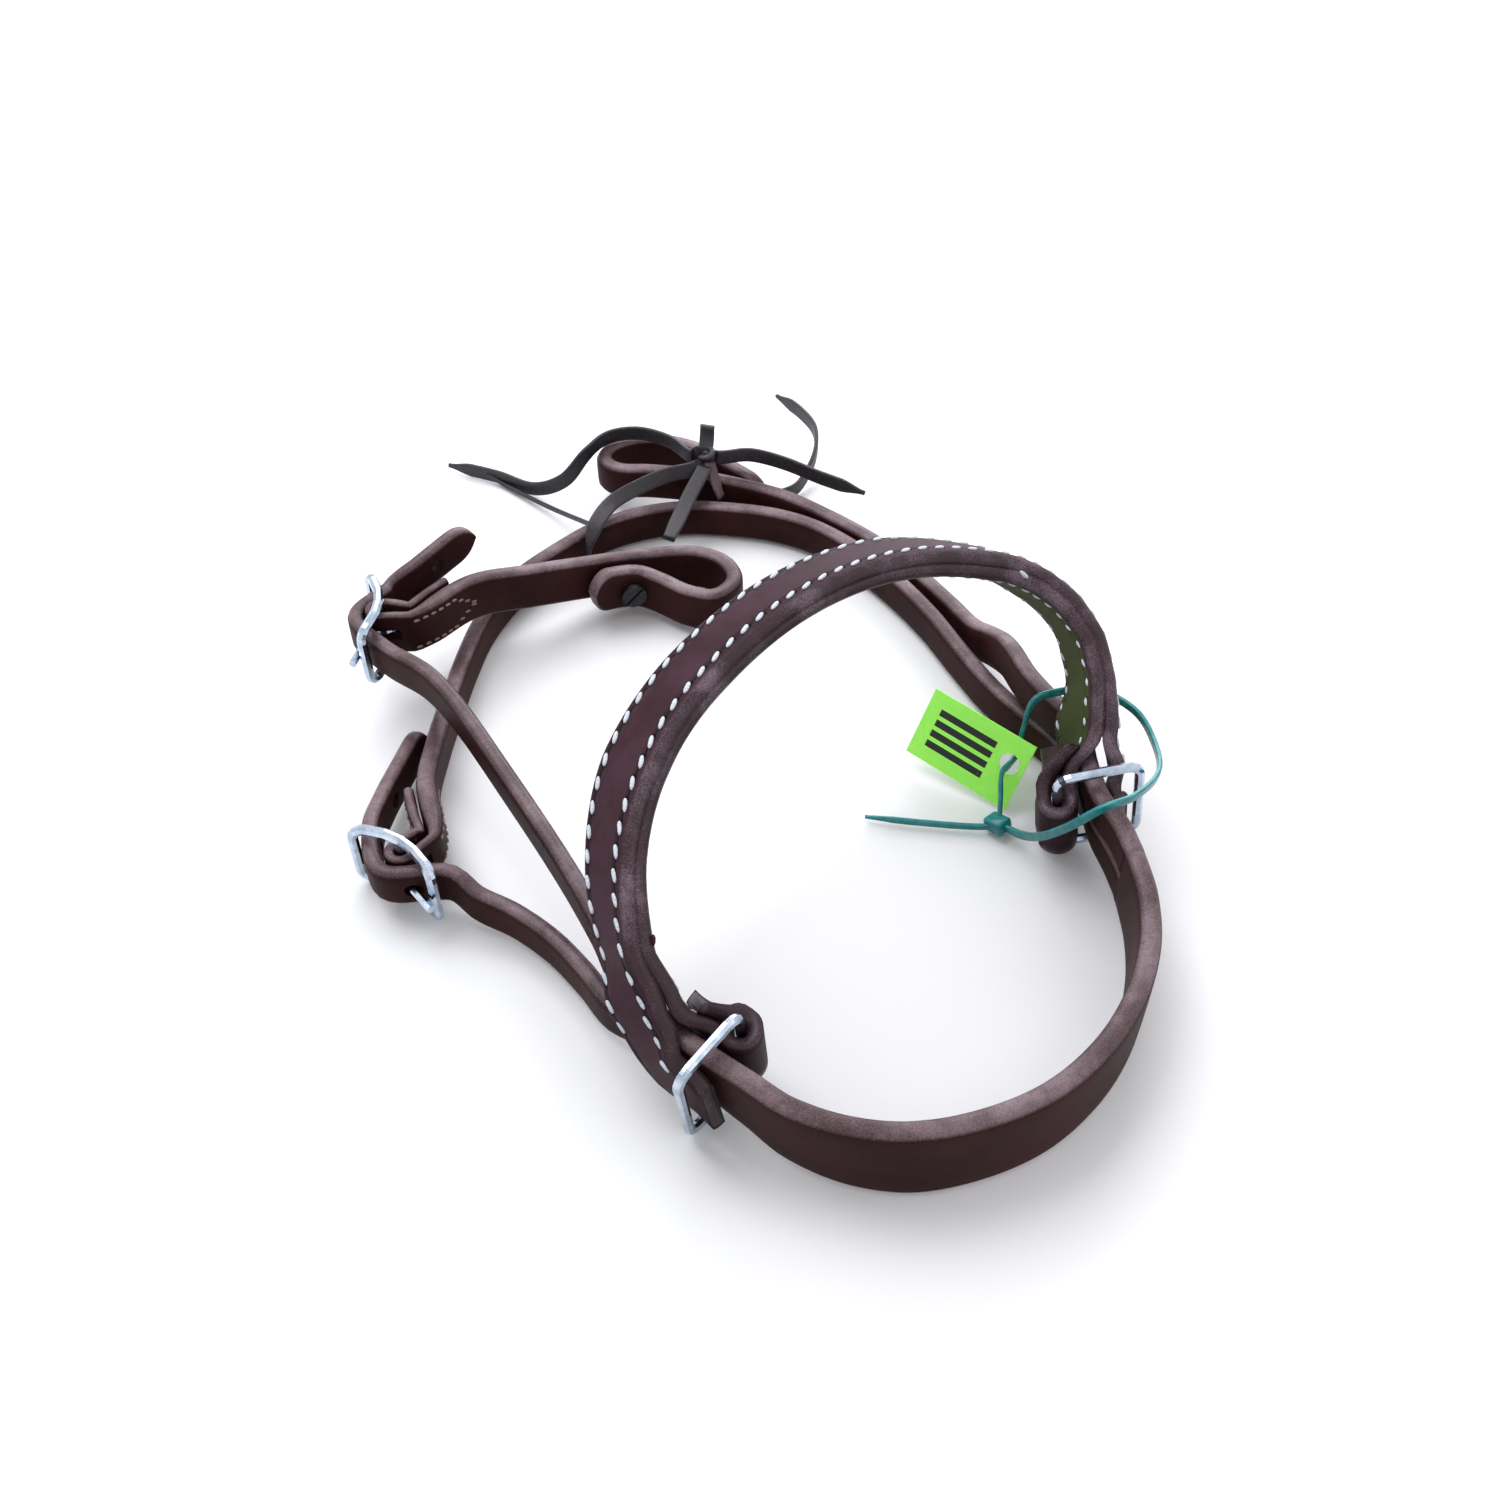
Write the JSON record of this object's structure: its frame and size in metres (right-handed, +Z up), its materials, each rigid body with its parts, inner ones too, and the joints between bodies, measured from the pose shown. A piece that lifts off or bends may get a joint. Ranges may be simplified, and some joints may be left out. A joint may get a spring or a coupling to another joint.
{
  "type": "browband headstall",
  "caption": "Harness leather headstall lying folded on its edge: stitched browband, split crown, cheek pieces, throatlatch, buckles, bit ties and a swing tag.",
  "frame": {"origin": "centre of the box round the solid pieces, on the surface that the straps stand on", "axes": "+Z up from that surface; +Y from the crown towards the bit loops; +X towards the side with the swing tag"},
  "size_m": [0.2188, 0.305, 0.0802],
  "materials": {
    "leather": "oiled harness leather",
    "metal": "bright nickel plate",
    "lace": "waxed lace leather",
    "screw": "black",
    "tie": "smooth",
    "tag": "card"
  },
  "bodies": {
    "leather": {"crown_strap": "leather", "throatlatch_strap": "leather", "right_cheek_strap": "leather", "left_cheek_strap": "leather", "browband_outer_ply": "leather", "browband_inner_ply": "leather", "bit_screw_front": "screw", "bit_screw_back": "screw", "lace_left": "lace", "lace_right": "lace", "lace_curl": "lace", "lace_hanging": "lace", "lace_band": "lace", "lace_knot": "lace"},
    "cheek_buckle": {"cheek_buckle_frame": "metal"},
    "cheek_tongue": {"cheek_buckle_tongue": "metal"},
    "throat_buckle": {"throat_buckle_frame": "metal"},
    "throat_tongue": {"throat_buckle_tongue": "metal"},
    "left_loop": {"browband_loop_left": "metal"},
    "right_loop": {"browband_loop_right": "metal"},
    "tie": {"cable_tie": "tie"},
    "tag": {"price_tag": "tag"}
  },
  "joints": [
    {"name": "cheek_buckle_pivot", "type": "hinge", "parent": "leather", "child": "cheek_buckle", "pos_m": [-0.09991, 0.02769, 0.02339], "axis": [0, 0, -1], "range_deg": [-2, 2]},
    {"name": "cheek_tongue_pivot", "type": "hinge", "parent": "cheek_buckle", "child": "cheek_tongue", "pos_m": [-0.09991, 0.02769, 0.02339], "axis": [0, 0, -1], "range_deg": [-1, 5]},
    {"name": "throat_buckle_pivot", "type": "hinge", "parent": "leather", "child": "throat_buckle", "pos_m": [-0.08351, -0.05041, 0.01079], "axis": [0, 0, -1], "range_deg": [-2, 2]},
    {"name": "throat_tongue_pivot", "type": "hinge", "parent": "throat_buckle", "child": "throat_tongue", "pos_m": [-0.08351, -0.05041, 0.01079], "axis": [0, 0, -1], "range_deg": [-1, 5]},
    {"name": "left_loop_pivot", "type": "hinge", "parent": "leather", "child": "left_loop", "pos_m": [0.00235, -0.10955, 0.0188], "axis": [-0.063, -0.18, 0.9816], "range_deg": [-2, 2]},
    {"name": "right_loop_pivot", "type": "hinge", "parent": "leather", "child": "right_loop", "pos_m": [0.08311, -0.03733, 0.0157], "axis": [-0.1625, -0.1737, 0.9713], "range_deg": [-2, 2]},
    {"name": "tie_swing", "type": "hinge", "parent": "leather", "child": "tie", "pos_m": [0.09409, -0.02681, 0.01989], "axis": [0, 0, 1], "range_deg": [-3, 3]},
    {"name": "tag_tilt", "type": "hinge", "parent": "tie", "child": "tag", "pos_m": [0.07397, -0.01588, 0.01169], "axis": [0.7943, -0.5957, -0.1191], "range_deg": [-5, 8]}
  ]
}
